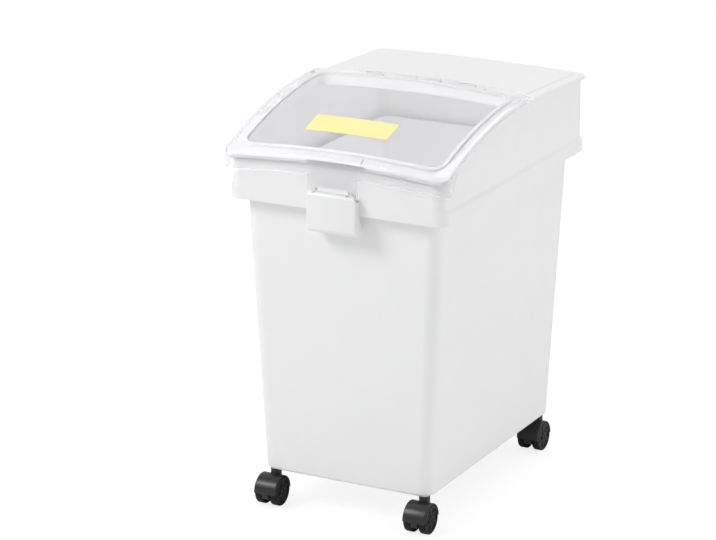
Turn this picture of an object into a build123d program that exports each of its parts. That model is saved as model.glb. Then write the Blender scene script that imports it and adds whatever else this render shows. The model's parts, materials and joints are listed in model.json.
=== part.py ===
from build123d import *
from math import asin, cos, degrees, hypot, radians, sin, sqrt
import os

# Rice bin with flip lid: a tapered tub on four swivel casters, with a lift-off hood that
# carries a clear flip lid and a latch. Millimetres: +X is right, -Y is the front, +Z is up.
# The origin is on the floor, under the middle of the whole object.

os.makedirs("parts", exist_ok=True)

# ---------------------------------------------------------------- driving dimensions

# casters
wheel_diameter = 40.0
wheel_width = 11.0
wheel_gap = 11.0          # between the inner faces of a caster's two wheels
wheel_rim = 3.0           # thickness of the rim under the tread
wheel_disc = 2.5          # thickness of the outer disc of a wheel
wheel_hub_radius = 5.0
tread_rounding = 1.5
wheel_recess = 0.8        # depth of the ring pressed into the outer face
trail = 12.0              # from the swivel axis to the wheel axis
caster_height = 50.0      # from the floor to the underside of the tub
fender_wall = 1.8
fender_gap = 0.8
fender_rounding = 1.4
web_gap = 0.5             # between the web of a caster and its wheels
web_drop = 8.0            # how far the web reaches below the wheel axis
neck_diameter = 15.0
caster_axle_diameter = 5.0
caster_axle_cover = 3.0   # plastic left between an axle's end and a wheel's outer face
stem_diameter = 8.0
journal_diameter = 7.0
journal_rise = 4.0        # from the wheel axis up to the foot of a stem
stem_flange_diameter = 14.0
stem_flange = 1.5
stem_length = 22.0        # what stands in the socket
stem_inset = 13.0         # from the walls of the tub's base to a stem's axis
grip_ring_width = 1.6
grip_ring_depth = 0.9
stem_chamfer = 0.8

# tub
rim_width = 291.0
rim_depth = 411.0
rim_corner = 19.0
side_taper = 19.5         # how far each side leans in from the rim to the base
end_taper = 12.5          # the same for the front and the rear
base_corner = 18.0
base_edge_radius = 4.0
tub_height = 395.0        # from the underside to the top of the rim
tub_wall = 3.0
floor_thickness = 4.0
floor_fillet = 9.0
rim_flange = 3.0
rim_lip = 6.0
locating_lip = 6.0
socket_wall = 4.5
socket_cover = 4.0
socket_spare = 1.0        # room above a stem in its socket

# hood
collar_side_reach = 17.0  # from the tub's side at the rim out to the collar's face
collar_end_reach = 15.5   # the same at the front and the rear
collar_corner = 20.0
collar_drop = 8.0         # how far the collar reaches below the rim of the tub
collar_face = 16.0
collar_slope = 5.0
collar_ledge = 3.2
hood_wall = 3.0
hood_corner = 18.0
hood_height = 114.0       # from the rim of the tub to the crest of the hood's own rim
crown_radius = 1650.0
slope_radius = 625.0
slope_start = 26.0        # where the top leaves the level and starts to fall to the front
bead_height = 5.0
bead_overhang = 3.2
front_bead_overhang = 4.0
bead_corner = 13.0
bead_rounding = 2.0
rear_fall = 12.5          # from the crest at the trough down to the crest at the rear
rear_crown_radius = 4200.0
deck_rise = 1.5
deck_border = 13.5
deck_corner = 8.0
side_rim_width = 19.5     # flat between the hood's beaded edge and the opening
front_rim_width = 20.0
opening_corner = 14.0
curb_wall = 2.5
curb_depth = 10.0

# lid and hinge
lid_wall = 2.5
lid_gap = 3.0             # between the hood's rim and the underside of the lid
lid_clearance = 0.8       # between the hood's rim and the skirt of the lid
lid_rounding = 6.0
side_skirt = 7.5
front_skirt_drop = 71.0   # from the crest of the hood's rim to the foot of the front skirt
skirt_return = 14.0
hinge_y = 30.0
hinge_depth = 11.0        # from the crest of the lid down to the hinge axis
hinge_rod_diameter = 4.0
hinge_knuckle_radius = 4.5
hinge_half_span = 95.0
hood_lug_width = 12.0
lid_knuckle_width = 24.0
knuckle_gap = 0.5
trough_reach = 12.0       # from the hinge axis to the front wall of the trough
trough_depth = 7.0        # from the hinge axis down to the trough's floor
trough_wall = 3.0
rear_rim_width = 10.0     # flat for the seal in front of the hinge trough
lid_open = 105.0          # degrees, where the lid leans on the front edge of the deck
seal_width = 4.5
seal_height = 2.6
seal_inset = 1.5
lip_width = 84.0
lip_height = 1.0
lip_depth = 3.0
lip_run = 10.0            # how far the lip runs back over the lid
label_width = 122.0
label_depth = 38.0
label_offset = -8.0
label_setback = 71.3      # from the front of the lid back to the middle of the label
label_thickness = 0.4
label_film = 0.1          # glue between the label and the lid
label_corner = 3.0

# latch
latch_proud = 12.5        # from the collar's face to the latch's face
latch_top_width = 73.0
latch_foot_width = 70.0
latch_corner = 9.0
latch_wall = 3.0
latch_axis_rise = 23.0    # from the collar's lower edge up to the latch's axis
latch_barrel_radius = 5.0
latch_drop = 28.0         # from the collar's lower edge down to the latch's foot
latch_toe = 8.0           # how far the hook reaches in behind the collar's face
latch_toe_height = 6.0
latch_gap = 0.6
latch_foot_rounding = 9.0
latch_toe_rounding = 2.5
latch_pin_diameter = 3.0
latch_lug_width = 5.0
latch_lug_x = 24.5
latch_lug_radius = 3.3
latch_skin = 1.2          # plastic left in front of the slots for the lugs
latch_slot_turn = 50.0    # degrees, how far that skin reaches up over the barrel
latch_rib_reach = 6.0     # from the latch's axis back to the rear of a lug's rib
tongue_width = 72.0

# fits
running_clearance = 0.05  # radial, a pin or shaft that turns in its hole
press_clearance = 0.02    # radial, a pin that is pushed into its hole
seat_gap = 0.3            # between two moving pieces that pass or rest on each other

# drawing aids
margin = 5.0              # how far a cutting solid reaches past what it cuts
join = 0.6                # overlap of two solids that become one
block_corner = 1.0        # plan corner of blocks whose corners end inside other solids

# ---------------------------------------------------------------- places worked out

bin_y = latch_proud / 2   # the bin's own middle lies this far behind the origin
wheel_radius = wheel_diameter / 2
tub_underside = caster_height
tub_top = tub_underside + tub_height
collar_bottom = tub_top - collar_drop
slope_foot = collar_bottom + collar_face
slope_head = slope_foot + collar_slope
rim_crest = tub_top + hood_height
crown_axis_z = rim_crest - crown_radius
lid_lift = lid_gap + lid_wall
lid_crest = rim_crest + lid_lift
hinge_z = lid_crest - hinge_depth

base_width = rim_width - 2 * side_taper
base_depth = rim_depth - 2 * end_taper
collar_width = rim_width + 2 * collar_side_reach
collar_depth = rim_depth + 2 * collar_end_reach
collar_half = collar_width / 2
collar_front = -collar_depth / 2
hood_half = collar_half - collar_ledge
hood_front = collar_front
hood_rear = collar_depth / 2 - collar_ledge
bead_half = hood_half + bead_overhang
bead_front = hood_front - front_bead_overhang
bead_rear = hood_rear + bead_overhang
lid_half = bead_half + lid_clearance + lid_wall
lid_front = bead_front - lid_clearance - lid_wall
lid_corner = bead_corner + lid_clearance + lid_wall
opening_half = bead_half - side_rim_width
opening_front = -bead_front - front_rim_width
label_y = lid_front + label_setback
opening_rear = hinge_y - trough_reach - rear_rim_width
latch_face = collar_front - latch_proud
latch_y = latch_face + latch_barrel_radius
latch_z = collar_bottom + latch_axis_rise
latch_foot = collar_bottom - latch_drop
crown_half_angle = degrees(asin((collar_half + 10 * margin) / crown_radius))

# The open lid leans its outer face on the front edge of the deck, which sets the trough's rear.
hinge_floor = hinge_z - trough_depth
trough_front = hinge_y - trough_reach
open_sine = sin(radians(lid_open))
open_cosine = cos(radians(lid_open))
lean_length = (rim_crest + deck_rise - hinge_z - hinge_depth * open_cosine) / open_sine
trough_rear = hinge_y + hinge_depth * open_sine - lean_length * open_cosine + seat_gap


def level(height):
    """Horizontal plane at a height above the floor, centred on the bin."""
    return Plane((0, bin_y, height))


def side_plane(x):
    """Upright plane across X, with its own x along +Y and its own y along +Z."""
    return Plane(origin=(x, bin_y, 0), x_dir=(0, 1, 0), z_dir=(1, 0, 0))


crown_plane = Plane(
    origin=(0, bin_y, crown_axis_z),
    x_dir=(0, 1, 0),
    z_dir=(cos(radians(crown_half_angle)), 0, sin(radians(crown_half_angle))),
)
crown_axis = Axis((0, bin_y, crown_axis_z), (0, 1, 0))


def plan(half_width, front, rear, corner):
    """Rounded outline in the open sketch, from the front line to the rear line."""
    with Locations((0, (front + rear) / 2)):
        RectangleRounded(2 * half_width, rear - front, corner)


def slope_point(y, rise):
    """Point of the top's side profile at y, raised by rise, on the crown plane."""
    radius = slope_radius + rise
    return (y, crown_radius - slope_radius + sqrt(radius**2 - (slope_start - y) ** 2))


def above_rear(rise):
    """Space above the rear deck, whose top falls and flattens from the trough to the rear."""
    side = collar_half + 2 * margin
    ceiling = rim_crest + hood_height
    sections = (
        (trough_rear, rim_crest + rise, crown_radius + rise),
        (bead_rear + margin, rim_crest - rear_fall + rise, rear_crown_radius + rise),
    )
    with BuildPart() as space:
        for y, crest, radius in sections:
            edge = crest - radius + sqrt(radius**2 - side**2)
            across = Plane(origin=(0, bin_y + y, 0), x_dir=(1, 0, 0), z_dir=(0, -1, 0))
            with BuildSketch(across):
                with BuildLine():
                    ThreePointArc((-side, edge), (0, crest), (side, edge))
                    Polyline((side, edge), (side, ceiling), (-side, ceiling), (-side, edge))
                make_face()
        loft(ruled=True)
    return space.part


def under_top(rise, half_width, front, rear, corner, bottom, rounding=0.0):
    """Solid from a level bottom up to the crowned top, which is raised by rise."""
    start = (slope_start, crown_radius + rise)
    end = slope_point(front - 6 * margin, rise)
    middle = slope_point((slope_start + end[0]) / 2, rise)
    low = bottom - crown_axis_z - 4 * margin
    with BuildPart() as block:
        with BuildSketch(crown_plane):
            with BuildLine():
                Line((rear + collar_depth, low), (rear + collar_depth, start[1]))
                Line((rear + collar_depth, start[1]), start)
                ThreePointArc(start, middle, end)
                Line(end, (end[0], low))
                Line((end[0], low), (rear + collar_depth, low))
            make_face()
        revolve(axis=crown_axis, revolution_arc=2 * crown_half_angle)
        with BuildSketch(level(bottom)):
            plan(half_width, front, rear, corner)
        extrude(amount=lid_crest + hood_height - bottom, mode=Mode.INTERSECT)
        # the lid ends at its hinge, so only the levels under it follow the falling deck
        if rear > trough_rear and rise < lid_gap:
            add(above_rear(rise), mode=Mode.SUBTRACT)
        if rounding > 0:
            fillet(top_outline(block, rear), rounding)
    return block.part


def top_outline(block, rear):
    """Outer edges of the top faces, without those along the rear."""
    tops = block.faces().filter_by(lambda face: face.normal_at().Z > 0.7)
    edges = [edge for face in tops for edge in face.edges()]
    outer = ShapeList()
    for edge in edges:
        twins = [other for other in edges if (other.center() - edge.center()).length < 0.01]
        if len(twins) == 1 and edge.center().Y < bin_y + rear - 0.5:
            outer.append(edge)
    return outer


# ---------------------------------------------------------------- tub

stem_x = base_width / 2 - stem_inset
stem_y = base_depth / 2 - stem_inset
stem_places = [(-stem_x, -stem_y), (stem_x, -stem_y), (-stem_x, stem_y), (stem_x, stem_y)]
socket_depth = stem_length + socket_spare
boss_height = socket_depth + socket_cover
boss_radius = stem_diameter / 2 + socket_wall
flange_half_width = hood_half - seat_gap
flange_half_depth = hood_rear - seat_gap
locating_top = tub_top + locating_lip


def tub_size(height, inset):
    """Width, depth and corner radius of the tapered tub at a height."""
    share = (height - tub_underside) / tub_height
    width = base_width + (rim_width - base_width) * share - 2 * inset
    depth = base_depth + (rim_depth - base_depth) * share - 2 * inset
    corner = base_corner + (rim_corner - base_corner) * share - inset
    return width, depth, corner


inside_floor = tub_underside + floor_thickness
with BuildPart() as tub_inside:
    with BuildSketch(level(inside_floor)):
        RectangleRounded(*tub_size(inside_floor, tub_wall))
    with BuildSketch(level(locating_top + margin)):
        RectangleRounded(*tub_size(locating_top + margin, tub_wall))
    loft(ruled=True)
    fillet(tub_inside.edges().group_by(Axis.Z)[0], floor_fillet)

with BuildPart() as tub_outside:
    with BuildSketch(level(tub_underside)):
        RectangleRounded(*tub_size(tub_underside, 0))
    with BuildSketch(level(locating_top)):
        RectangleRounded(*tub_size(locating_top, 0))
    loft(ruled=True)
    fillet(tub_outside.edges().group_by(Axis.Z)[0], base_edge_radius)

with BuildPart() as sockets:
    with BuildSketch(level(tub_underside)):
        with Locations(*stem_places):
            Circle(boss_radius)
    extrude(amount=boss_height)
    add(tub_outside.part, mode=Mode.INTERSECT)

with BuildPart() as bin_body:
    add(tub_outside.part)
    with BuildSketch(level(tub_top - rim_lip)):
        plan(flange_half_width, -flange_half_depth, flange_half_depth, hood_corner)
    extrude(amount=rim_lip)
    with BuildSketch(level(tub_top - rim_lip)):
        plan(
            flange_half_width - tub_wall,
            tub_wall - flange_half_depth,
            flange_half_depth - tub_wall,
            hood_corner - tub_wall,
        )
        RectangleRounded(*tub_size(tub_top - rim_lip, join), mode=Mode.SUBTRACT)
    extrude(amount=rim_lip - rim_flange, mode=Mode.SUBTRACT)
    add(tub_inside.part, mode=Mode.SUBTRACT)
    add(sockets.part)
    with BuildSketch(level(tub_underside)):
        with Locations(*stem_places):
            Circle(stem_diameter / 2 + press_clearance)
    extrude(amount=socket_depth, mode=Mode.SUBTRACT)
bin_body.part.label = "bin_body"
export_step(bin_body.part, "parts/bin_body.step")

# ---------------------------------------------------------------- hood

hood_skin = under_top(0, hood_half, hood_front, hood_rear, hood_corner, tub_top)
hood_hollow = under_top(
    -hood_wall,
    hood_half - hood_wall,
    hood_front + hood_wall,
    hood_rear - hood_wall,
    hood_corner - hood_wall,
    tub_top,
)
bead_block = under_top(
    0, bead_half, bead_front, bead_rear, bead_corner, tub_top, bead_rounding
)
bead_hollow = under_top(
    -bead_height,
    collar_half + margin,
    collar_front - 2 * margin,
    bead_rear + 2 * margin,
    block_corner,
    tub_top - margin,
)
deck_half = bead_half - deck_border
deck_rear = bead_rear - deck_border
deck_panel = under_top(
    deck_rise, deck_half, trough_rear, deck_rear, deck_corner, tub_top, bead_rounding
)
deck_hollow = under_top(
    deck_rise - hood_wall,
    deck_half - hood_wall,
    trough_rear + trough_wall,
    deck_rear - hood_wall,
    deck_corner - hood_wall,
    tub_top,
)
trough_beam = under_top(
    0,
    hood_half - hood_wall / 2,
    trough_front - trough_wall,
    trough_rear + trough_wall,
    block_corner,
    hinge_floor - trough_wall,
)
curb_block = under_top(
    -hood_wall / 2,
    opening_half + curb_wall,
    -opening_front - curb_wall,
    opening_rear + curb_wall,
    opening_corner + curb_wall,
    tub_top,
)
curb_hollow = under_top(
    -hood_wall - curb_depth,
    collar_half,
    -opening_front - 4 * margin,
    opening_rear + 4 * margin,
    block_corner,
    tub_top - margin,
)
with BuildPart() as bead:
    add(bead_block)
    add(bead_hollow, mode=Mode.SUBTRACT)
with BuildPart() as curb:
    add(curb_block)
    add(curb_hollow, mode=Mode.SUBTRACT)

hood_lug_x = hinge_half_span - hood_lug_width / 2
hood_lug_places = (-hood_lug_x, 0, hood_lug_x)
knuckle_inner_x = (hood_lug_width + lid_knuckle_width) / 2 + knuckle_gap
knuckle_outer_x = hood_lug_x - (hood_lug_width + lid_knuckle_width) / 2 - knuckle_gap
lid_knuckle_places = (-knuckle_outer_x, -knuckle_inner_x, knuckle_inner_x, knuckle_outer_x)

with BuildPart() as hood:
    add(hood_skin)
    add(bead.part)
    with BuildSketch(level(collar_bottom)):
        plan(collar_half, collar_front, -collar_front, collar_corner)
    extrude(amount=collar_face)
    with BuildSketch(level(slope_foot)):
        plan(collar_half, collar_front, -collar_front, collar_corner)
    with BuildSketch(level(slope_head)):
        plan(hood_half, hood_front, hood_rear, hood_corner)
    loft(ruled=True)
    add(deck_panel)
    add(hood_hollow, mode=Mode.SUBTRACT)
    add(deck_hollow, mode=Mode.SUBTRACT)
    add(trough_beam)
    add(curb.part)
    with BuildSketch(level(collar_bottom)):
        plan(hood_half, -hood_rear, hood_rear, hood_corner)
    extrude(amount=collar_drop, mode=Mode.SUBTRACT)
    with BuildSketch(level(tub_top)):
        plan(opening_half, -opening_front, opening_rear, opening_corner)
    extrude(amount=2 * hood_height, mode=Mode.SUBTRACT)
    with BuildSketch(level(hinge_floor)):
        with Locations((0, (trough_front + trough_rear) / 2)):
            Rectangle(2 * collar_width, trough_rear - trough_front)
    extrude(amount=hood_height, mode=Mode.SUBTRACT)
    for x in hood_lug_places:
        with BuildSketch(side_plane(x - hood_lug_width / 2)):
            with Locations((hinge_y, hinge_z)):
                Circle(hinge_knuckle_radius)
            with Locations((hinge_y, hinge_z - trough_depth / 2)):
                Rectangle(2 * hinge_knuckle_radius, trough_depth)
        extrude(amount=hood_lug_width)
    with BuildSketch(side_plane(-hinge_half_span)):
        with Locations((hinge_y, hinge_z)):
            Circle(hinge_rod_diameter / 2 + press_clearance)
    extrude(amount=2 * hinge_half_span, mode=Mode.SUBTRACT)
hood.part.label = "hood"
export_step(hood.part, "parts/hood.step")

# ---------------------------------------------------------------- lid

lid_outer = under_top(
    lid_lift, lid_half, lid_front, hinge_y + lid_corner, lid_corner, collar_bottom, lid_rounding
)
lid_hollow = under_top(
    lid_gap,
    lid_half - lid_wall,
    lid_front + lid_wall,
    hinge_y + lid_corner + lid_wall,
    lid_corner - lid_wall,
    collar_bottom - margin,
    lid_rounding - lid_wall,
)
foot_start = (slope_start, crown_radius + lid_lift - side_skirt)
foot_end = slope_point(lid_front + 2.5 * skirt_return, lid_lift - side_skirt)
foot_middle = slope_point((slope_start + foot_end[0]) / 2, lid_lift - side_skirt)
front_foot = crown_radius - front_skirt_drop
foot_low = front_foot - hood_height
with BuildPart() as skirt_foot:
    with BuildSketch(crown_plane):
        with BuildLine():
            Polyline(
                (lid_front - 4 * margin, front_foot),
                (lid_front - 4 * margin, foot_low),
                (hinge_y + collar_half, foot_low),
                (hinge_y + collar_half, foot_start[1]),
                foot_start,
            )
            ThreePointArc(foot_start, foot_middle, foot_end)
            Polyline(
                foot_end,
                (lid_front + skirt_return, front_foot),
                (lid_front - 4 * margin, front_foot),
            )
        make_face()
    revolve(axis=crown_axis, revolution_arc=2 * crown_half_angle)

lip_top = under_top(
    lid_lift + lip_height,
    lip_width / 2,
    lid_front - lip_depth,
    lid_front + lip_run,
    lip_depth,
    collar_bottom,
    lip_height / 2,
)
lip_under = under_top(
    lid_lift - lid_wall / 2,
    lip_width,
    lid_front - 4 * margin,
    lid_front + 2 * lip_run,
    block_corner,
    collar_bottom - margin,
)
knuckle_arms = under_top(
    lid_gap + lid_wall / 2,
    hinge_half_span,
    hinge_y - hinge_knuckle_radius,
    hinge_y,
    block_corner / 2,
    hinge_z,
)
with BuildPart() as arms:
    add(knuckle_arms)
    with BuildSketch(level(hinge_z)):
        with Locations(*[(x, hinge_y) for x in lid_knuckle_places]):
            Rectangle(lid_knuckle_width, 4 * hinge_knuckle_radius)
    extrude(amount=hood_height, mode=Mode.INTERSECT)

tongue_foot = latch_z + latch_barrel_radius + latch_gap
tongue_back = lid_front + lid_wall - latch_y
rib_points = (
    (0, 0),
    (0.65 * latch_barrel_radius, 0.85 * latch_barrel_radius),
    (tongue_back - join, tongue_foot - latch_z),
    (tongue_back - join, tongue_foot - latch_z + latch_rib_reach),
    (latch_rib_reach, latch_barrel_radius + 3 * join),
    (latch_rib_reach, latch_lug_radius / 2),
    (latch_lug_radius, 0),
)
tongue_top = rim_crest - front_skirt_drop + lid_wall
with BuildPart() as finger_lip:
    add(lip_top)
    add(lip_under, mode=Mode.SUBTRACT)

with BuildPart() as lid:
    add(lid_outer)
    add(lid_hollow, mode=Mode.SUBTRACT)
    add(skirt_foot.part, mode=Mode.SUBTRACT)
    with BuildSketch(level(collar_bottom)):
        with Locations((0, hinge_y + collar_half)):
            Rectangle(2 * collar_width, collar_width)
    extrude(amount=2 * hood_height, mode=Mode.SUBTRACT)
    add(finger_lip.part)
    add(arms.part)
    for x in lid_knuckle_places:
        with BuildSketch(side_plane(x - lid_knuckle_width / 2)):
            with Locations((hinge_y, hinge_z)):
                Circle(hinge_knuckle_radius)
        extrude(amount=lid_knuckle_width)
    with BuildSketch(level(tongue_foot)):
        with Locations((0, lid_front + lid_wall / 2)):
            Rectangle(tongue_width, lid_wall)
    extrude(amount=tongue_top - tongue_foot)
    for x in (-latch_lug_x, latch_lug_x):
        with BuildSketch(side_plane(x - latch_lug_width / 2)):
            with Locations((latch_y, latch_z)):
                Circle(latch_lug_radius)
            Polygon(*[(latch_y + back, latch_z + up) for back, up in rib_points], align=None)
        extrude(amount=latch_lug_width)
    with BuildSketch(side_plane(-hinge_half_span)):
        with Locations((hinge_y, hinge_z)):
            Circle(hinge_rod_diameter / 2 + running_clearance)
    extrude(amount=2 * hinge_half_span, mode=Mode.SUBTRACT)
    with BuildSketch(side_plane(-latch_top_width)):
        with Locations((latch_y, latch_z)):
            Circle(latch_pin_diameter / 2 + running_clearance)
    extrude(amount=2 * latch_top_width, mode=Mode.SUBTRACT)
lid.part.label = "lid"
export_step(lid.part, "parts/lid.step")

# soft seal on the hood's rim, round the opening
seal_outer = under_top(
    seal_height,
    opening_half + seal_inset + seal_width,
    -opening_front - seal_inset - seal_width,
    opening_rear + seal_inset + seal_width,
    opening_corner + seal_inset + seal_width,
    tub_top,
)
seal_under = under_top(0, collar_half, collar_front, hood_rear, block_corner, tub_top - margin)
with BuildPart() as lid_seal:
    add(seal_outer)
    add(seal_under, mode=Mode.SUBTRACT)
    with BuildSketch(level(tub_top)):
        plan(
            opening_half + seal_inset,
            -opening_front - seal_inset,
            opening_rear + seal_inset,
            opening_corner + seal_inset,
        )
    extrude(amount=2 * hood_height, mode=Mode.SUBTRACT)
lid_seal.part.label = "lid_seal"
export_step(lid_seal.part, "parts/lid_seal.step")

# bare label, bent to the top of the lid
label_outer = under_top(
    lid_lift + label_film + label_thickness,
    label_width,
    label_y - label_depth,
    label_y + label_depth,
    block_corner,
    tub_top,
)
label_under = under_top(
    lid_lift + label_film, collar_half, collar_front, hood_rear, block_corner, tub_top - margin
)
with BuildPart() as name_label:
    add(label_outer)
    add(label_under, mode=Mode.SUBTRACT)
    with BuildSketch(level(tub_top)):
        with Locations((label_offset, label_y)):
            RectangleRounded(label_width, label_depth, label_corner)
    extrude(amount=2 * hood_height, mode=Mode.INTERSECT)
name_label.part.label = "name_label"
export_step(name_label.part, "parts/name_label.step")

with BuildPart() as hinge_rod:
    with BuildSketch(side_plane(knuckle_gap - hinge_half_span)):
        with Locations((hinge_y, hinge_z)):
            Circle(hinge_rod_diameter / 2)
    extrude(amount=2 * (hinge_half_span - knuckle_gap))
hinge_rod.part.label = "hinge_rod"
export_step(hinge_rod.part, "parts/hinge_rod.step")

# ---------------------------------------------------------------- latch

front_plane = Plane(
    origin=(0, bin_y + collar_front + latch_toe + margin, 0), x_dir=(1, 0, 0), z_dir=(0, -1, 0)
)
latch_depth = latch_proud + latch_toe + 2 * margin
latch_head = latch_z + latch_barrel_radius
swing_radius = hypot(collar_front - hinge_y, collar_bottom - hinge_z) + latch_gap
cheek_back = collar_front - latch_gap
toe_back = collar_front + latch_toe


def latch_outline(inset, head, foot, corner):
    """Front view of the latch, narrower towards its foot, drawn in by inset."""
    top = latch_top_width / 2 - inset
    bottom = latch_foot_width / 2 - inset
    Polygon((-top, head), (-bottom, foot), (bottom, foot), (top, head), align=None)
    if corner > 0:
        fillet(vertices().group_by(Axis.Y)[-1], corner)


with BuildPart() as latch_room:
    with BuildSketch(front_plane):
        latch_outline(latch_wall, latch_head, latch_foot, 0)
    extrude(amount=latch_depth)
    with BuildSketch(side_plane(-latch_top_width)):
        with BuildLine():
            Polyline(
                (latch_face + latch_wall, latch_z - latch_barrel_radius),
                (latch_face + latch_wall, latch_foot + latch_toe_height),
                (collar_front + 2 * latch_toe, latch_foot + latch_toe_height),
                (collar_front + 2 * latch_toe, latch_z - latch_barrel_radius),
                (latch_face + latch_wall, latch_z - latch_barrel_radius),
            )
        make_face()
    extrude(amount=2 * latch_top_width, mode=Mode.INTERSECT)

with BuildPart() as latch:
    with BuildSketch(side_plane(-latch_top_width)):
        with BuildLine():
            Polyline(
                (latch_face, collar_bottom),
                (latch_face, latch_foot),
                (toe_back, latch_foot),
                (toe_back, collar_bottom),
                (latch_face, collar_bottom),
            )
        make_face()
        fillet(vertices().group_by(Axis.Y)[0].sort_by(Axis.X)[0], latch_foot_rounding)
        fillet(vertices().group_by(Axis.Y)[0].sort_by(Axis.X)[-1], latch_toe_rounding)
        with Locations((hinge_y, hinge_z)):
            Circle(swing_radius, mode=Mode.SUBTRACT)
        with BuildLine():
            Polyline(
                (latch_face, latch_z),
                (latch_face, collar_bottom - latch_gap),
                (cheek_back, collar_bottom - latch_gap),
                (cheek_back, latch_z),
                (latch_face, latch_z),
            )
        make_face()
        with Locations((latch_y, latch_z)):
            Circle(latch_barrel_radius)
    extrude(amount=2 * latch_top_width)
    with BuildSketch(front_plane):
        latch_outline(0, latch_head, latch_foot, latch_corner)
    extrude(amount=latch_depth, mode=Mode.INTERSECT)
    add(latch_room.part, mode=Mode.SUBTRACT)
    for x in (-latch_lug_x, latch_lug_x):
        with BuildSketch(side_plane(x - latch_lug_width / 2 - knuckle_gap)):
            with Locations((latch_y, latch_z)):
                Circle(latch_barrel_radius - latch_skin)
                Rectangle(
                    2 * (latch_barrel_radius + latch_gap),
                    latch_barrel_radius + latch_gap,
                    rotation=-latch_slot_turn,
                    align=(Align.CENTER, Align.MIN),
                )
        extrude(amount=latch_lug_width + 2 * knuckle_gap, mode=Mode.SUBTRACT)
    with BuildSketch(side_plane(-latch_top_width)):
        with Locations((latch_y, latch_z)):
            Circle(latch_pin_diameter / 2 + press_clearance)
    extrude(amount=2 * latch_top_width, mode=Mode.SUBTRACT)
latch.part.label = "latch"
export_step(latch.part, "parts/latch.step")

latch_pin_half = latch_top_width / 2 - latch_wall
with BuildPart() as latch_pin:
    with BuildSketch(side_plane(-latch_pin_half)):
        with Locations((latch_y, latch_z)):
            Circle(latch_pin_diameter / 2)
    extrude(amount=2 * latch_pin_half)
latch_pin.part.label = "latch_pin"
export_step(latch_pin.part, "parts/latch_pin.step")

# ---------------------------------------------------------------- casters

axle_z = wheel_radius
fender_inner = wheel_radius + fender_gap
fender_outer = fender_inner + fender_wall
wheels_half = wheel_gap / 2 + wheel_width
web_half = wheel_gap / 2 - web_gap
wheel_bore_depth = wheel_width - caster_axle_cover
axle_half = wheel_gap / 2 + wheel_bore_depth - seat_gap
neck_top = tub_underside - stem_flange - seat_gap
journal_foot = axle_z + journal_rise
stem_seat = tub_underside - stem_flange
ring_z = tub_underside + stem_length - 2 * grip_ring_width


def caster_plane(stem_x, axle_y, offset):
    """Upright plane across X at one caster's axle, which is its origin."""
    return Plane(
        origin=(stem_x + offset, bin_y + axle_y, axle_z), x_dir=(0, 1, 0), z_dir=(1, 0, 0)
    )


def make_stem(x, y):
    """Steel stem: a shank for the socket, a flange and a journal for the housing."""
    with BuildPart() as stem:
        with BuildSketch(level(journal_foot)):
            with Locations((x, y)):
                Circle(journal_diameter / 2)
        extrude(amount=stem_seat - journal_foot)
        with BuildSketch(level(stem_seat)):
            with Locations((x, y)):
                Circle(stem_flange_diameter / 2)
        extrude(amount=stem_flange)
        with BuildSketch(level(tub_underside)):
            with Locations((x, y)):
                Circle(stem_diameter / 2)
        extrude(amount=stem_length)
        chamfer(stem.edges().group_by(Axis.Z)[-1], stem_chamfer)
        with BuildSketch(level(ring_z)):
            with Locations((x, y)):
                Circle(stem_diameter / 2 + margin)
                Circle(stem_diameter / 2 - grip_ring_depth, mode=Mode.SUBTRACT)
        extrude(amount=grip_ring_width, mode=Mode.SUBTRACT)
    return stem.part


def make_housing(x, y):
    """Fender over both wheels, the web between them and the neck round the stem."""
    axle_y = y - trail
    with BuildPart() as housing:
        with BuildSketch(caster_plane(x, axle_y, -wheels_half)):
            Circle(fender_outer)
            with Locations((0, -fender_outer)):
                Rectangle(3 * fender_outer, 2 * fender_outer, mode=Mode.SUBTRACT)
        extrude(amount=2 * wheels_half)
        rims = housing.edges().filter_by(GeomType.CIRCLE)
        fillet(rims, fender_rounding)
        with BuildSketch(level(axle_z)):
            with Locations((x, y)):
                Circle(neck_diameter / 2)
        extrude(amount=neck_top - axle_z)
        with BuildSketch(caster_plane(x, axle_y, -web_half)):
            Circle(fender_inner)
            with Locations((0, -web_drop - fender_inner)):
                Rectangle(3 * fender_inner, 2 * fender_inner, mode=Mode.SUBTRACT)
        extrude(amount=2 * web_half)
        for start in (-wheels_half - margin, web_half):
            with BuildSketch(caster_plane(x, axle_y, start)):
                Circle(fender_inner)
            extrude(amount=wheels_half + margin - web_half, mode=Mode.SUBTRACT)
        with BuildSketch(caster_plane(x, axle_y, -web_half)):
            Circle(caster_axle_diameter / 2 + press_clearance)
        extrude(amount=2 * web_half, mode=Mode.SUBTRACT)
        with BuildSketch(level(journal_foot - seat_gap)):
            with Locations((x, y)):
                Circle(journal_diameter / 2 + running_clearance)
        extrude(amount=neck_top - journal_foot + margin, mode=Mode.SUBTRACT)
    return housing.part


def make_axle(x, y):
    """Steel axle through the web."""
    with BuildPart() as axle:
        with BuildSketch(caster_plane(x, y - trail, -axle_half)):
            Circle(caster_axle_diameter / 2)
        extrude(amount=2 * axle_half)
    return axle.part


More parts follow.
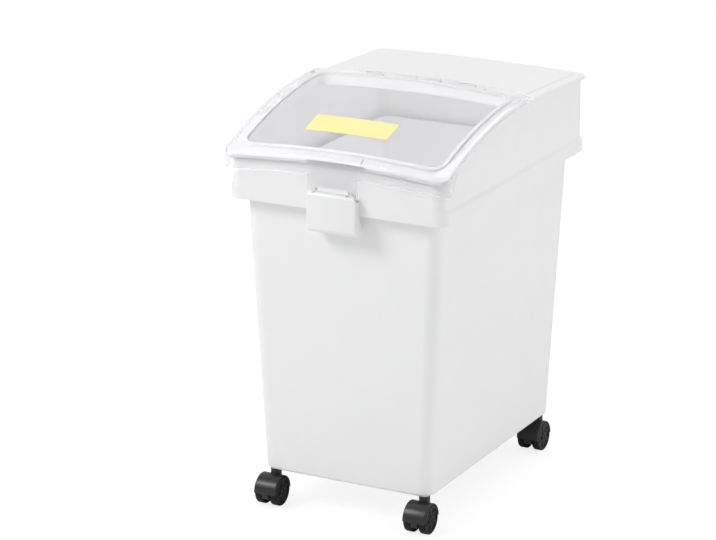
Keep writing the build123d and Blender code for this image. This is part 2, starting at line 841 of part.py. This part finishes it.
def make_wheel(x, y, side):
    """Wheel with a rim, an outer disc and a blind hub; side is -1 for left and 1 for right."""
    inner = wheel_gap / 2
    outer = inner + wheel_width
    disc = outer - wheel_disc
    rim = wheel_radius - wheel_rim
    hub_face = inner + seat_gap
    wheel_plane = Plane(
        origin=(x, bin_y + y - trail, axle_z), x_dir=(side, 0, 0), z_dir=(0, -side, 0)
    )
    with BuildPart() as wheel:
        with BuildSketch(wheel_plane):
            with BuildLine():
                Polyline(
                    (inner, rim),
                    (inner, wheel_radius),
                    (outer, wheel_radius),
                    (outer, rim),
                    (outer - wheel_recess, rim - wheel_recess),
                    (outer - wheel_recess, wheel_hub_radius + wheel_recess),
                    (outer, wheel_hub_radius),
                    (outer, 0),
                    (inner + wheel_bore_depth, 0),
                    (inner + wheel_bore_depth, caster_axle_diameter / 2 + running_clearance),
                    (hub_face, caster_axle_diameter / 2 + running_clearance),
                    (hub_face, wheel_hub_radius),
                    (disc, wheel_hub_radius),
                    (disc, rim),
                    (inner, rim),
                )
            make_face()
            fillet(vertices().group_by(Axis.Y)[-1], tread_rounding)
        revolve(axis=Axis((x, bin_y + y - trail, axle_z), (1, 0, 0)))
    return wheel.part


corner_names = ("front_left", "front_right", "rear_left", "rear_right")
for corner, (x, y) in zip(corner_names, stem_places):
    pieces = {
        "stem": make_stem(x, y),
        "housing": make_housing(x, y),
        "axle": make_axle(x, y),
        "left_wheel": make_wheel(x, y, -1),
        "right_wheel": make_wheel(x, y, 1),
    }
    for piece, part in pieces.items():
        part.label = f"{corner}_caster_{piece}"
        export_step(part, f"parts/{part.label}.step")

with BuildPart() as grip_rings:
    with BuildSketch(level(ring_z)):
        with Locations(*stem_places):
            Circle(stem_diameter / 2)
            Circle(stem_diameter / 2 - grip_ring_depth, mode=Mode.SUBTRACT)
    extrude(amount=grip_ring_width)
grip_rings.part.label = "caster_grip_rings"
export_step(grip_rings.part, "parts/caster_grip_rings.step")
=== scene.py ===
# %% [markdown]
# # Rice bin with flip lid
# A tall white bin for rice or flour. It stands on four black casters, and its top lifts off.
# The clear front half of that top flips up, and a latch holds it down. The solids come from
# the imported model; this lesson gives every surface its finish, rounds the sharp edges that a
# mould would round, and sets up the studio.

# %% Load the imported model
import json
import math

import bmesh
import bpy
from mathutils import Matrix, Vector


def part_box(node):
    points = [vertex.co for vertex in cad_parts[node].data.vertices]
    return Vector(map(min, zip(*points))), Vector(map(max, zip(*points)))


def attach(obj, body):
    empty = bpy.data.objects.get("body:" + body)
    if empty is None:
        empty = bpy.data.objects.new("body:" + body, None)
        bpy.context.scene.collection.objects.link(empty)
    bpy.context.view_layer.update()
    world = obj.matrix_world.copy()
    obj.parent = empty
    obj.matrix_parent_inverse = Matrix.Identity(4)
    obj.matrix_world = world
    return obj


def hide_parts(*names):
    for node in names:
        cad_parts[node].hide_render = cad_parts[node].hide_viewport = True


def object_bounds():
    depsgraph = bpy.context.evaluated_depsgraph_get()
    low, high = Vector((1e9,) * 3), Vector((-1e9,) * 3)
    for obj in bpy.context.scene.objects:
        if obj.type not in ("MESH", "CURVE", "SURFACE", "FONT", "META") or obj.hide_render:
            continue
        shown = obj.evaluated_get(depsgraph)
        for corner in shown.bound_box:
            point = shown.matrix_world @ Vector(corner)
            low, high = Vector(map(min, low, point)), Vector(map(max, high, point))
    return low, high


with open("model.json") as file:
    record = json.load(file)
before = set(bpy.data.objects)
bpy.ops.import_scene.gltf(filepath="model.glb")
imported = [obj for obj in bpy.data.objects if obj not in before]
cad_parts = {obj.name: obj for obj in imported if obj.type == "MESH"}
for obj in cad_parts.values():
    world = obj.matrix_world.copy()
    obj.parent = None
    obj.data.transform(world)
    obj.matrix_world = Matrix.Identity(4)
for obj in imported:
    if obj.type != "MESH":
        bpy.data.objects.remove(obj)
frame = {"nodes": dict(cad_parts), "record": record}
cad_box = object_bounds()
nodes = frame["nodes"]
print("nodes:", len(nodes), "box:", [[round(value, 4) for value in corner] for corner in cad_box])

# %% [markdown]
# ## Small helpers
# Operators act on whatever is selected, so every piece starts with nothing selected. A
# finished piece has its place in its mesh and its object at the origin.

# %% Helpers for operators
MM = 0.001
corners = ("front_left", "front_right", "rear_left", "rear_right")


def only(piece):
    """Selects one piece and makes it active, in object mode."""
    bpy.ops.object.select_all(action="DESELECT")
    piece.select_set(True)
    bpy.context.view_layer.objects.active = piece


def apply_modifiers(piece):
    """Applies every modifier of a piece, in order."""
    only(piece)
    for name in [modifier.name for modifier in piece.modifiers]:
        bpy.ops.object.modifier_apply(modifier=name)


def settle(piece):
    """Moves a piece's place, turn and size into its mesh."""
    only(piece)
    bpy.ops.object.transform_apply(location=True, rotation=True, scale=True)


def centre(node):
    """Middle of a CAD node's box."""
    low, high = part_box(node)
    return (Vector(low) + Vector(high)) / 2


# %% [markdown]
# ## Camera
# The product was photographed from the front and a little from its right, from well above,
# through a long lens. The place, the angles and the lens were fitted to outline points of the
# tub, the collar and the hood.

# %% Camera
camera_place = (1.9960, -3.9708, 1.7055)
camera_tilt = math.radians(90 - 17.57)
camera_turn = math.radians(27.58)
lens_length = 170.95

camera_data = bpy.data.cameras.new("camera")
camera_data.lens = lens_length
camera_data.sensor_width = 36
camera = bpy.data.objects.new("camera", camera_data)
camera.location = camera_place
camera.rotation_euler = (camera_tilt, 0, camera_turn)
bpy.context.scene.collection.objects.link(camera)
bpy.context.scene.camera = camera
bpy.context.scene.view_settings.view_transform = "Standard"

# %% [markdown]
# ## Studio
# The background is pure white and the shadows are very soft, so most of the light comes from
# the white room itself. One lamp from the front left makes the front a little brighter than
# the right side, a weaker one lights that side from the right, and one overhead brightens the
# top. The rounded corner between front and right faces neither of them, so it stays darker.


# %% Node helpers, and the rays that show the background
def add_node(tree, kind, **settings):
    """Adds a node and sets its properties."""
    node = tree.nodes.new(kind)
    for name, value in settings.items():
        setattr(node, name, value)
    return node


def set_inputs(node, **values):
    """Sets a node's sockets by their names, with _ for a blank."""
    for name, value in values.items():
        node.inputs[name.replace("_", " ")].default_value = value


def seen_ray(tree):
    """Socket that is 1 for what the camera sees, straight or through the lid, and else 0."""
    path = add_node(tree, "ShaderNodeLightPath")
    either = add_node(tree, "ShaderNodeMath", operation="MAXIMUM")
    tree.links.new(path.outputs["Is Camera Ray"], either.inputs[0])
    tree.links.new(path.outputs["Is Transmission Ray"], either.inputs[1])
    straight = add_node(tree, "ShaderNodeMath", operation="LESS_THAN")
    straight.inputs[1].default_value = 0.5
    tree.links.new(path.outputs["Diffuse Depth"], straight.inputs[0])
    both = add_node(tree, "ShaderNodeMath", operation="MULTIPLY")
    tree.links.new(either.outputs[0], both.inputs[0])
    tree.links.new(straight.outputs[0], both.inputs[1])
    return both.outputs[0]


# %% World
white = (1.0, 1.0, 1.0, 1)
room_strength = 0.64
seen_strength = 1.0

world = bpy.data.worlds.new("white_room")
bpy.context.scene.world = world
world.use_nodes = True
world_tree = world.node_tree
world_tree.nodes.clear()
room_light = add_node(world_tree, "ShaderNodeBackground")
set_inputs(room_light, Color=white, Strength=room_strength)
seen_room = add_node(world_tree, "ShaderNodeBackground")
set_inputs(seen_room, Color=white, Strength=seen_strength)
world_mix = add_node(world_tree, "ShaderNodeMixShader")
world_tree.links.new(seen_ray(world_tree), world_mix.inputs["Fac"])
world_tree.links.new(room_light.outputs[0], world_mix.inputs[1])
world_tree.links.new(seen_room.outputs[0], world_mix.inputs[2])
world_output = add_node(world_tree, "ShaderNodeOutputWorld")
world_tree.links.new(world_mix.outputs[0], world_output.inputs["Surface"])
print("room light:", room_strength, "of the seen white:", seen_strength)


# %% Lamps
def softbox(name, place, aim, width, power):
    """Square area lamp at a place, facing a point."""
    data = bpy.data.lights.new(name, "AREA")
    data.shape = "SQUARE"
    data.size = width
    data.energy = power
    lamp = bpy.data.objects.new(name, data)
    lamp.location = place
    lamp.rotation_euler = (Vector(aim) - Vector(place)).to_track_quat("-Z", "Y").to_euler()
    bpy.context.scene.collection.objects.link(lamp)


middle = (Vector(cad_box[0]) + Vector(cad_box[1])) / 2
softbox("front_softbox", (-1.35, -1.6, 2.0), middle, 0.9, 27)
softbox("right_softbox", (2.05, 0.20, 0.45), middle, 1.0, 7.8)
softbox("top_softbox", (0.2, 1.2, 2.4), middle, 1.6, 13.5)

# %% [markdown]
# ## Finishes
# Polypropylene from a mould is never quite even: the melt leaves faint clouds, the steel
# leaves a fine skin, and wiping leaves hair-thin marks. These three effects are one node group
# that each plastic uses with its own values.


# %% The skin of moulded plastic
skin = bpy.data.node_groups.new("moulded_skin", "ShaderNodeTree")
for name, start in (("Clouds", 30.0), ("Skin", 900.0), ("Marks", 60.0)):
    socket = skin.interface.new_socket(name, in_out="INPUT", socket_type="NodeSocketFloat")
    socket.default_value = start
for name in ("Cloud", "Polish", "Height"):
    skin.interface.new_socket(name, in_out="OUTPUT", socket_type="NodeSocketFloat")

entry = add_node(skin, "NodeGroupInput")
leave = add_node(skin, "NodeGroupOutput")
place = add_node(skin, "ShaderNodeTexCoord")

clouds = add_node(skin, "ShaderNodeTexNoise")
set_inputs(clouds, Detail=3.0, Roughness=0.5, Distortion=0.4)
skin.links.new(place.outputs["Object"], clouds.inputs["Vector"])
skin.links.new(entry.outputs["Clouds"], clouds.inputs["Scale"])

fine_skin = add_node(skin, "ShaderNodeTexNoise")
set_inputs(fine_skin, Detail=2.0, Roughness=0.6)
skin.links.new(place.outputs["Object"], fine_skin.inputs["Vector"])
skin.links.new(entry.outputs["Skin"], fine_skin.inputs["Scale"])

stretch = add_node(skin, "ShaderNodeMapping")
stretch.inputs["Scale"].default_value = (1.0, 1.0, 9.0)
stretch.inputs["Rotation"].default_value = (0.3, 0.5, 0.2)
marks = add_node(skin, "ShaderNodeTexNoise")
set_inputs(marks, Detail=6.0, Roughness=0.75, Distortion=1.2)
skin.links.new(place.outputs["Object"], stretch.inputs["Vector"])
skin.links.new(stretch.outputs["Vector"], marks.inputs["Vector"])
skin.links.new(entry.outputs["Marks"], marks.inputs["Scale"])
hairlines = add_node(skin, "ShaderNodeValToRGB")
hairlines.color_ramp.elements[0].position = 0.52
hairlines.color_ramp.elements[1].position = 0.72
skin.links.new(marks.outputs["Fac"], hairlines.inputs["Fac"])

height = add_node(skin, "ShaderNodeMath", operation="MULTIPLY_ADD")
height.inputs[1].default_value = -0.25
skin.links.new(hairlines.outputs["Color"], height.inputs[0])
skin.links.new(fine_skin.outputs["Fac"], height.inputs[2])

skin.links.new(clouds.outputs["Fac"], leave.inputs["Cloud"])
skin.links.new(hairlines.outputs["Color"], leave.inputs["Polish"])
skin.links.new(height.outputs[0], leave.inputs["Height"])


# %% What every finish starts with
def new_finish(name, clouds, fine, marks):
    """New material with the skin in it: gives the material, its tree, shader and skin."""
    material = bpy.data.materials.new(name)
    material.use_nodes = True
    tree = material.node_tree
    group = add_node(tree, "ShaderNodeGroup", node_tree=skin)
    set_inputs(group, Clouds=clouds, Skin=fine, Marks=marks)
    return material, tree, tree.nodes["Principled BSDF"], group


def cloudy_colour(tree, shader, group, dull, bright):
    """Base colour that drifts between two close colours with the clouds."""
    tone = add_node(tree, "ShaderNodeMix", data_type="RGBA")
    tone.inputs[6].default_value = (*dull, 1)
    tone.inputs[7].default_value = (*bright, 1)
    tree.links.new(group.outputs["Cloud"], tone.inputs["Factor"])
    tree.links.new(tone.outputs[2], shader.inputs["Base Color"])


def marked_sheen(tree, shader, group, smooth, rough):
    """Roughness that rises from smooth to rough where the wiping marks are."""
    sheen = add_node(tree, "ShaderNodeMapRange")
    set_inputs(sheen, To_Min=smooth, To_Max=rough)
    tree.links.new(group.outputs["Polish"], sheen.inputs["Value"])
    tree.links.new(sheen.outputs["Result"], shader.inputs["Roughness"])


# %% Moulded plastics
plastic_fine = 900.0
plastic_marks = 60.0
relief_depth = 0.4 * MM
mould_rounding = 0.8 * MM


def plastic(name, dull, bright, smooth, rough, bump, clouds=30.0):
    """Opaque moulded plastic: two close colours, a roughness range and a skin."""
    material, tree, shader, group = new_finish(name, clouds, plastic_fine, plastic_marks)
    cloudy_colour(tree, shader, group, dull, bright)
    marked_sheen(tree, shader, group, smooth, rough)
    relief = add_node(tree, "ShaderNodeBump")
    set_inputs(relief, Strength=bump, Distance=relief_depth)
    rounded = add_node(tree, "ShaderNodeBevel", samples=4)
    set_inputs(rounded, Radius=mould_rounding)
    tree.links.new(rounded.outputs["Normal"], relief.inputs["Normal"])
    tree.links.new(group.outputs["Height"], relief.inputs["Height"])
    tree.links.new(relief.outputs["Normal"], shader.inputs["Normal"])
    return material


white_plastic = plastic(
    "white_polypropylene", (0.855, 0.858, 0.860), (0.885, 0.885, 0.884), 0.30, 0.42, 0.10
)
white_shader = white_plastic.node_tree.nodes["Principled BSDF"]
set_inputs(
    white_shader, Subsurface_Weight=0.4, Subsurface_Radius=(1.0, 1.0, 1.0), Subsurface_Scale=2 * MM
)
caster_plastic = plastic(
    "black_nylon", (0.010, 0.010, 0.011), (0.020, 0.020, 0.021), 0.28, 0.45, 0.35, clouds=90.0
)
wheel_plastic = plastic(
    "black_wheel_nylon",
    (0.005, 0.005, 0.006),
    (0.011, 0.011, 0.012),
    0.40,
    0.60,
    0.45,
    clouds=120.0,
)
set_inputs(wheel_plastic.node_tree.nodes["Principled BSDF"], Specular_IOR_Level=0.22)
seal_rubber = plastic(
    "pale_silicone", (0.88, 0.88, 0.88), (0.92, 0.92, 0.92), 0.45, 0.60, 0.20, clouds=60.0
)
label_film = plastic(
    "yellow_label_film", (0.92, 0.85, 0.37), (0.95, 0.89, 0.42), 0.38, 0.50, 0.06, clouds=25.0
)

# %% [markdown]
# ## Light through the walls
# The walls are only three millimetres of white plastic, so some of the room's light comes
# through them and lights the inside. A faint glow on the faces that look inwards stands for
# it. A face looks inwards where its normal points back towards the middle of the bin.

# %% Inward-looking faces
inward = bpy.data.node_groups.new("inward_faces", "ShaderNodeTree")
inward.interface.new_socket("Glow", in_out="OUTPUT", socket_type="NodeSocketColor")
inward_exit = add_node(inward, "NodeGroupOutput")
here = add_node(inward, "ShaderNodeTexCoord")
facing = add_node(inward, "ShaderNodeNewGeometry")
outward = add_node(inward, "ShaderNodeVectorMath", operation="SUBTRACT")
outward.inputs[1].default_value = middle
along = add_node(inward, "ShaderNodeVectorMath", operation="DOT_PRODUCT")
inward.links.new(here.outputs["Object"], outward.inputs[0])
inward.links.new(outward.outputs[0], along.inputs[0])
inward.links.new(facing.outputs["True Normal"], along.inputs[1])
turned_in = add_node(inward, "ShaderNodeMath", operation="LESS_THAN")
turned_in.inputs[1].default_value = 0.0
inward.links.new(along.outputs["Value"], turned_in.inputs[0])
inward.links.new(turned_in.outputs[0], inward_exit.inputs["Glow"])

wall_glow = 0.16
glow = add_node(white_plastic.node_tree, "ShaderNodeGroup", node_tree=inward)
white_plastic.node_tree.links.new(glow.outputs["Glow"], white_shader.inputs["Emission Color"])
set_inputs(white_shader, Emission_Strength=wall_glow)
print("glow of the inner walls:", wall_glow)

# %% [markdown]
# ## Clear lid
# The lid is clear, hard and polished, with fine wiping marks. It bends what is seen through
# it a little, and most of the light from the lamps passes it, so that the space below stays
# bright.


# %% Clear plastic
def clear_plastic(name, tint, passed, smooth, rough):
    """Clear plastic that lets the passed share of the lamps' light through."""
    material, tree, shader, group = new_finish(name, 18.0, 260.0, 40.0)
    set_inputs(shader, Base_Color=(*tint, 1), Transmission_Weight=1.0, IOR=1.30)
    marked_sheen(tree, shader, group, smooth, rough)
    through = add_node(tree, "ShaderNodeBsdfTransparent")
    set_inputs(through, Color=(*passed, 1))
    path = add_node(tree, "ShaderNodeLightPath")
    mix = add_node(tree, "ShaderNodeMixShader")
    tree.links.new(path.outputs["Is Shadow Ray"], mix.inputs["Fac"])
    tree.links.new(shader.outputs[0], mix.inputs[1])
    tree.links.new(through.outputs[0], mix.inputs[2])
    tree.links.new(mix.outputs[0], tree.nodes["Material Output"].inputs["Surface"])
    return material


lid_plastic = clear_plastic("clear_lid", (0.945, 0.940, 0.955), (0.79, 0.79, 0.80), 0.02, 0.07)
frosted_plastic = plastic(
    "frosted_lugs", (0.80, 0.80, 0.81), (0.86, 0.86, 0.87), 0.48, 0.62, 0.20, clouds=60.0
)


# %% Zinc-plated steel
def steel(name, dark, bright):
    """Bright plated steel with fine drawing lines and clouds of tarnish."""
    material, tree, shader, group = new_finish(name, 160.0, 1800.0, 400.0)
    set_inputs(shader, Metallic=1.0)
    cloudy_colour(tree, shader, group, dark, bright)
    marked_sheen(tree, shader, group, 0.22, 0.40)
    return material


plated_steel = steel("zinc_plated_steel", (0.52, 0.53, 0.55), (0.68, 0.68, 0.69))

# %% Give every CAD node its finish
finish_of_slot = {
    "white_plastic": white_plastic,
    "clear_plastic": lid_plastic,
    "seal_rubber": seal_rubber,
    "yellow_label": label_film,
    "caster_nylon": caster_plastic,
    "wheel_nylon": wheel_plastic,
    "steel": plated_steel,
}
for part in frame["record"]["subparts"]:
    piece = nodes[part["node"]]
    piece.data.materials.clear()
    piece.data.materials.append(finish_of_slot[part["material_slot"]])

# %% [markdown]
# The lid's two lugs hold the latch's pin, and its knuckles turn on the hinge rod. Their faces
# are frosted, which hides the steel, and so are the cut edges at the foot of the skirt and of
# the tongue, where the mould's two halves meet. Clear plastic leads light to such faces, so
# they also glow a little.

# %% Frosted lugs, knuckles and edges
frosted_shader = frosted_plastic.node_tree.nodes["Principled BSDF"]
set_inputs(frosted_shader, Emission_Color=white, Emission_Strength=0.10)
lid_low, lid_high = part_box("lid")
lug_middle = 24.5 * MM
lug_reach = 2.7 * MM
lug_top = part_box("latch")[1][2] + 9 * MM
hinge = centre("hinge_rod")
knuckle_reach = 5.6 * MM
arm_reach = 13.0 * MM
lip_depth = 3.0 * MM
edge_width = 2.7 * MM
tongue_half = 36.0 * MM
flat_slack = 0.1 * MM
skirt_side = lid_high[0] - edge_width
skirt_front = lid_low[1] + lip_depth + edge_width


def on_lug(ends):
    """True for the faces of the two lugs."""
    return all(abs(abs(end.x) - lug_middle) < lug_reach and end.z < lug_top for end in ends)


def on_knuckle(ends, normal):
    """True for the faces round the hinge rod, and for the upright ones of the arms above it."""
    far = max(math.hypot(end.y - hinge.y, end.z - hinge.z) for end in ends)
    return far < knuckle_reach or (far < arm_reach and abs(normal.z) < 0.6)


def on_edge(ends, normal):
    """True for the narrow faces at the foot of the skirt, and round the tongue."""
    at_rim = all(abs(end.x) > skirt_side or end.y < skirt_front for end in ends)
    at_tongue = all(abs(abs(end.x) - tongue_half) < flat_slack for end in ends)
    return at_rim and (normal.z < -0.8 or at_tongue)


lid_mesh = nodes["lid"].data
lid_mesh.materials.append(frosted_plastic)
frosted_faces = 0
for face in lid_mesh.polygons:
    ends = [lid_mesh.vertices[index].co for index in face.vertices]
    if on_lug(ends) or on_knuckle(ends, face.normal) or on_edge(ends, face.normal):
        face.material_index = 1
        frosted_faces += 1
print("frosted faces:", frosted_faces)

# %% [markdown]
# ## Caster wheels
# Each caster has two nylon wheels. A wheel is a cup: a rim with rounded shoulders, a thin
# disc outside, and a blind hub that takes the axle. The disc is stiffened by six ribs with
# shallow pockets between them. The wheel is modelled once from a cylinder lying flat, with
# insets and extrusions, then turned on its side and copied to its eight places.


# %% Edit-mode helpers
def pick_faces(piece, wanted):
    """Selects the faces whose middle and normal pass a test, in edit mode."""
    mesh = bmesh.from_edit_mesh(piece.data)
    bpy.ops.mesh.select_mode(type="FACE")
    bpy.ops.mesh.select_all(action="DESELECT")
    for face in mesh.faces:
        face.select_set(bool(wanted(face.calc_center_median(), face.normal)))
    bmesh.update_edit_mesh(piece.data)


def pick_edges(piece, wanted):
    """Selects the edges whose two ends pass a test, in edit mode."""
    mesh = bmesh.from_edit_mesh(piece.data)
    bpy.ops.mesh.select_mode(type="EDGE")
    bpy.ops.mesh.select_all(action="DESELECT")
    for edge in mesh.edges:
        edge.select_set(bool(wanted(edge.verts[0].co, edge.verts[1].co)))
    bmesh.update_edit_mesh(piece.data)


def push(distance):
    """Extrudes the selected faces up by a distance, or down by a negative one."""
    bpy.ops.mesh.extrude_region_move(TRANSFORM_OT_translate={"value": (0, 0, distance)})


# %% One wheel, lying with its outer face up
wheel_low, wheel_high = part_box("front_left_caster_right_wheel")
wheel_radius = (wheel_high[2] - wheel_low[2]) / 2
wheel_width = wheel_high[0] - wheel_low[0]
rim_wall = 3.0 * MM
rim_step = 1.2 * MM
dish = 0.8 * MM
disc_wall = 3.2 * MM
hub_ring = 6.2 * MM
hub_radius = 5.0 * MM
bore_radius = 2.55 * MM
hub_setback = 0.2 * MM
hub_slope = 1.0 * MM
cap_ring = 1.6 * MM
cap_depth = 0.5 * MM
pocket_margin = 0.5 * MM
pocket_depth = 0.7 * MM
cup_depth = wheel_width - disc_wall
shoulder = 1.5 * MM
wheel_edge = 0.2 * MM
mesh_slack = 0.01 * MM
rib_half_angle = 7.6
rib_spacing = 60.0

bpy.ops.object.select_all(action="DESELECT")
bpy.ops.mesh.primitive_cylinder_add(vertices=72, radius=wheel_radius, depth=wheel_width)
wheel = bpy.context.active_object
bpy.ops.object.mode_set(mode="EDIT")
pick_faces(wheel, lambda middle, normal: normal.z > 0.9)
bpy.ops.mesh.inset(thickness=rim_wall)
push(-dish)
bpy.ops.mesh.inset(thickness=rim_step)
bpy.ops.mesh.inset(thickness=wheel_radius - rim_wall - rim_step - hub_ring)
bpy.ops.mesh.inset(thickness=hub_slope)
push(dish)
bpy.ops.mesh.inset(thickness=cap_ring)
push(-cap_depth)


def in_pocket(middle, normal):
    """True for faces of the dished ring that lie between two ribs."""
    radius = math.hypot(middle.x, middle.y)
    turn = math.degrees(math.atan2(middle.y, middle.x)) % rib_spacing
    between = rib_half_angle < turn < rib_spacing - rib_half_angle
    on_disc = abs(middle.z - wheel_width / 2 + dish) < mesh_slack
    on_ring = hub_ring < radius < wheel_radius - rim_wall - rim_step
    return normal.z > 0.9 and on_disc and between and on_ring


pick_faces(wheel, in_pocket)
bpy.ops.mesh.inset(thickness=pocket_margin)
push(-pocket_depth)
pick_faces(wheel, lambda middle, normal: normal.z < -0.9)
bpy.ops.mesh.inset(thickness=rim_wall)
push(cup_depth)
bpy.ops.mesh.inset(thickness=wheel_radius - rim_wall - hub_radius)
push(hub_setback - cup_depth)
bpy.ops.mesh.inset(thickness=hub_radius - bore_radius)
push(cup_depth)


def on_tread_edge(first, second):
    """True for the two rings of edges where the tread meets the sides."""
    far = min(math.hypot(end.x, end.y) for end in (first, second))
    return far > wheel_radius - mesh_slack and abs(first.z - second.z) < mesh_slack


pick_edges(wheel, on_tread_edge)
bpy.ops.mesh.bevel(offset=shoulder, segments=4, affect="EDGES")
bpy.ops.object.mode_set(mode="OBJECT")
edges = wheel.modifiers.new("edges", "BEVEL")
edges.width = wheel_edge
edges.segments = 2
edges.limit_method = "ANGLE"
edges.angle_limit = math.radians(40)
apply_modifiers(wheel)
bpy.ops.object.shade_smooth_by_angle(angle=math.radians(35))
wheel.data.materials.append(wheel_plastic)
print("wheel faces:", len(wheel.data.polygons), "size:", tuple(wheel.dimensions))

# %% Eight wheels at their places
for corner in corners:
    for side, turn in (("left", -90), ("right", 90)):
        node = f"{corner}_caster_{side}_wheel"
        copy = wheel.copy()
        copy.data = wheel.data.copy()
        copy.name = f"{corner}_{side}_ribbed_wheel"
        bpy.context.scene.collection.objects.link(copy)
        copy.rotation_euler = (0, math.radians(turn), 0)
        copy.location = centre(node)
        settle(copy)
        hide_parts(node)
        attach(copy, f"{corner}_{side}_wheel")
bpy.data.objects.remove(wheel)

# %% [markdown]
# ## Soft edges
# A mould leaves no sharp edge, and on the small parts the camera sees it. A copy of the latch
# and of each caster's housing is merged into one skin, its flat faces are joined, and its
# edges get a small bevel. The copy then stands for the node.


# %% Rounded copies
def softened(node, name, body, radius):
    """Copy of a CAD node with its sharp edges rounded, which takes the node's place."""
    piece = nodes[node].copy()
    piece.data = piece.data.copy()
    piece.parent = None
    piece.name = name
    for key in list(piece.keys()):
        del piece[key]
    bpy.context.scene.collection.objects.link(piece)
    only(piece)
    bpy.ops.object.mode_set(mode="EDIT")
    bpy.ops.mesh.select_all(action="SELECT")
    bpy.ops.mesh.remove_doubles(threshold=0.002 * MM)
    bpy.ops.mesh.dissolve_limited(angle_limit=math.radians(0.3))
    bpy.ops.object.mode_set(mode="OBJECT")
    edges = piece.modifiers.new("edges", "BEVEL")
    edges.width = radius
    edges.segments = 3
    edges.limit_method = "ANGLE"
    edges.angle_limit = math.radians(32)
    edges.use_clamp_overlap = False
    apply_modifiers(piece)
    bpy.ops.object.shade_smooth_by_angle(angle=math.radians(35))
    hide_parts(node)
    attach(piece, body)
    return piece


latch_radius = 0.7 * MM
housing_radius = 0.4 * MM
latch_piece = softened("latch", "rounded_latch", "latch", latch_radius)
print("latch faces:", len(latch_piece.data.polygons))
for corner in corners:
    softened(
        f"{corner}_caster_housing",
        f"{corner}_rounded_housing",
        f"{corner}_caster",
        housing_radius,
    )

# %% [markdown]
# ## Floor
# The bin stands on a plain pale floor that takes its soft shadow. Most of what the camera
# sees of it is an even glow of the background's white, so that floor and background join
# without a line, and the rest is paint that takes the shadow.

# %% Floor
bpy.ops.object.select_all(action="DESELECT")
bpy.ops.mesh.primitive_plane_add(size=30, location=(0, 8, 0))
floor = bpy.context.active_object
floor.name = "floor"
glow_share = 0.7
glow_strength = 1.17
floor_paint = bpy.data.materials.new("floor_paint")
floor_paint.use_nodes = True
floor_tree = floor_paint.node_tree
floor_shader = floor_tree.nodes["Principled BSDF"]
set_inputs(floor_shader, Base_Color=(0.82, 0.82, 0.82, 1), Roughness=0.9, Specular_IOR_Level=0.0)
floor_glow = add_node(floor_tree, "ShaderNodeEmission")
set_inputs(floor_glow, Strength=glow_strength)
floor_share = add_node(floor_tree, "ShaderNodeMath", operation="MULTIPLY")
floor_share.inputs[1].default_value = glow_share
floor_mix = add_node(floor_tree, "ShaderNodeMixShader")
floor_tree.links.new(seen_ray(floor_tree), floor_share.inputs[0])
floor_tree.links.new(floor_share.outputs[0], floor_mix.inputs["Fac"])
floor_tree.links.new(floor_shader.outputs[0], floor_mix.inputs[1])
floor_tree.links.new(floor_glow.outputs[0], floor_mix.inputs[2])
floor_tree.links.new(floor_mix.outputs[0], floor_tree.nodes["Material Output"].inputs["Surface"])
floor.data.materials.append(floor_paint)
